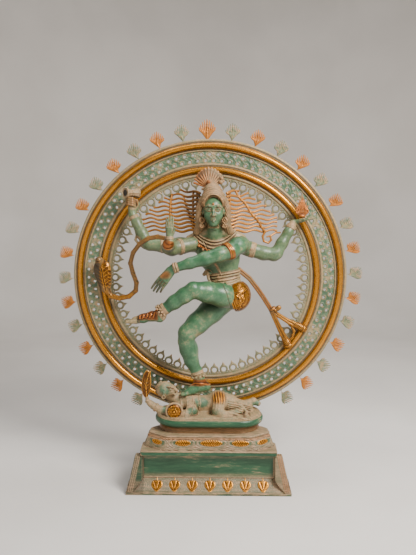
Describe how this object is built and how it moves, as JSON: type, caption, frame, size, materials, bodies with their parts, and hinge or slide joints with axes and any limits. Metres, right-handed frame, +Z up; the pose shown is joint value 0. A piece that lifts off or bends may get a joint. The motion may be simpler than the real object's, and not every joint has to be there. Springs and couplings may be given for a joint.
{
  "type": "nataraja statue",
  "caption": "Multi-armed brass dancer on a lying dwarf inside a pierced, flame-edged ring, on a stepped lotus plinth",
  "frame": {"origin": "centre of the plinth's footprint on the floor", "axes": "+X to the right as seen from the front, +Y towards the back, +Z up; the figure faces -Y"},
  "size_m": [0.7112, 0.2286, 0.8127],
  "materials": {
    "green_patina": "matt painted green patina with pale wash in the hollows",
    "gold": "polished antique gold",
    "copper": "reddish antique copper",
    "stone_wash": "matt beige wash over green",
    "steel": "plain zinc-plated"
  },
  "bodies": {
    "root": {"base_screws": "steel", "blessing_arm": "green_patina", "cobra": "gold", "crossing_arm": "green_patina", "drum": "gold", "drum_arm": "green_patina", "dwarf": "stone_wash", "dwarf_blade": "gold", "dwarf_shield": "gold", "figure_slab": "green_patina", "figure_stud": "steel", "flame_01": "green_patina", "flame_02": "copper", "flame_03": "green_patina", "flame_04": "copper", "flame_05": "green_patina", "flame_06": "copper", "flame_07": "green_patina", "flame_08": "copper", "flame_09": "green_patina", "flame_10": "copper", "flame_11": "green_patina", "flame_12": "copper", "flame_13": "green_patina", "flame_14": "copper", "flame_15": "green_patina", "flame_16": "copper", "flame_17": "green_patina", "flame_18": "copper", "flame_19": "green_patina", "flame_20": "copper", "flame_21": "green_patina", "flame_22": "copper", "flame_23": "green_patina", "flame_24": "copper", "flame_25": "green_patina", "flame_26": "copper", "flame_27": "green_patina", "flame_28": "copper", "flame_29": "green_patina", "flame_30": "copper", "flame_31": "green_patina", "flame_arm": "green_patina", "flying_sash": "gold", "hair_fan_left": "copper", "hair_fan_right": "copper", "hand_flame": "copper", "head": "green_patina", "headdress": "stone_wash", "hip_cloth": "gold", "inner_rim": "gold", "lower_plinth": "green_patina", "openwork_band": "green_patina", "outer_rim": "gold", "petal_fringe": "green_patina", "raised_leg": "green_patina", "ring_foot": "green_patina", "standing_leg": "green_patina", "torso": "green_patina", "upper_plinth": "green_patina"}
  },
  "joints": []
}
